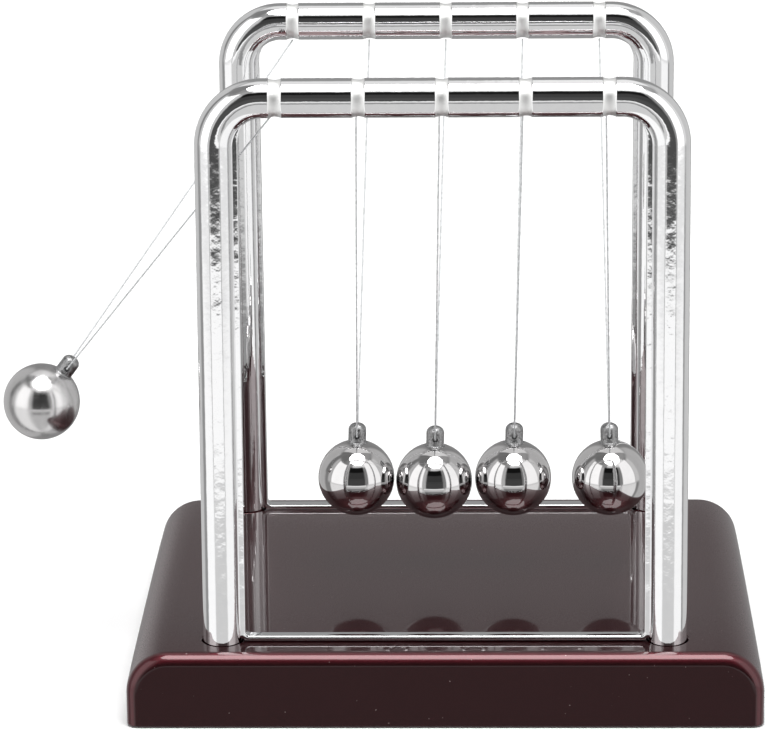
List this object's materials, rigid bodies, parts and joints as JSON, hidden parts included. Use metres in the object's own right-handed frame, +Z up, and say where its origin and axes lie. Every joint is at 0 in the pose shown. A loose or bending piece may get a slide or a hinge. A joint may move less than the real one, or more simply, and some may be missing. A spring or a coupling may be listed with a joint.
{
  "type": "newtons cradle",
  "caption": "Desk Newton's cradle: polished balls on clear V-shaped strings between two chromed, grooved U frames on a glossy rounded base, with one end ball raised.",
  "frame": {"origin": "middle of the underside, on the face that the cradle stands on", "axes": "+Z up; +X to the right along the row of balls, away from the raised ball; -Y towards the viewer"},
  "size_m": [0.1714, 0.115, 0.1424],
  "materials": {
    "base_gloss": "very glossy dark burgundy",
    "base_plate": "fine matt, dark",
    "foam_pad": "closed-cell foam, black",
    "frame_chrome": "bright chrome plate",
    "ball_steel": "mirror-polished steel",
    "eyelet_metal": "satin",
    "nylon_line": "clear nylon line",
    "plugs": "clear nylon plug",
    "screws": "zinc plated"
  },
  "bodies": {
    "stand": {"base_shell": "base_gloss", "base_plate": "base_plate", "underside_pad": "foam_pad", "plate_screw_1": "screws", "plate_screw_2": "screws", "plate_screw_3": "screws", "plate_screw_4": "screws", "front_frame": "frame_chrome", "front_string_plug_1": "plugs", "front_string_plug_2": "plugs", "front_string_plug_3": "plugs", "front_string_plug_4": "plugs", "front_string_plug_5": "plugs", "front_left_leg_screw": "screws", "front_right_leg_screw": "screws", "rear_frame": "frame_chrome", "rear_string_plug_1": "plugs", "rear_string_plug_2": "plugs", "rear_string_plug_3": "plugs", "rear_string_plug_4": "plugs", "rear_string_plug_5": "plugs", "rear_left_leg_screw": "screws", "rear_right_leg_screw": "screws"},
    "ball_1_hanging": {"ball_1": "ball_steel", "eyelet_1": "eyelet_metal", "string_1": "nylon_line"},
    "ball_2_hanging": {"ball_2": "ball_steel", "eyelet_2": "eyelet_metal", "string_2": "nylon_line"},
    "ball_3_hanging": {"ball_3": "ball_steel", "eyelet_3": "eyelet_metal", "string_3": "nylon_line"},
    "ball_4_hanging": {"ball_4": "ball_steel", "eyelet_4": "eyelet_metal", "string_4": "nylon_line"},
    "ball_5_hanging": {"ball_5": "ball_steel", "eyelet_5": "eyelet_metal", "string_5": "nylon_line"}
  },
  "joints": [
    {"name": "ball_1_swing", "type": "hinge", "parent": "stand", "child": "ball_1_hanging", "pos_m": [-0.03578, 0, 0.13406], "axis": [0, -1, 0], "range_deg": [-23.1, 35.41]},
    {"name": "ball_2_swing", "type": "hinge", "parent": "stand", "child": "ball_2_hanging", "pos_m": [-0.01789, 0, 0.13406], "axis": [0, -1, 0], "range_deg": [-35.74, 0.2]},
    {"name": "ball_3_swing", "type": "hinge", "parent": "stand", "child": "ball_3_hanging", "pos_m": [0, 0, 0.13406], "axis": [0, -1, 0], "range_deg": [-0.193, 0.365]},
    {"name": "ball_4_swing", "type": "hinge", "parent": "stand", "child": "ball_4_hanging", "pos_m": [0.01789, 0, 0.13406], "axis": [0, -1, 0], "range_deg": [-0.37, 2.84]},
    {"name": "ball_5_swing", "type": "hinge", "parent": "stand", "child": "ball_5_hanging", "pos_m": [0.03578, 0, 0.13406], "axis": [0, -1, 0], "range_deg": [-2.84, 58.9]}
  ]
}
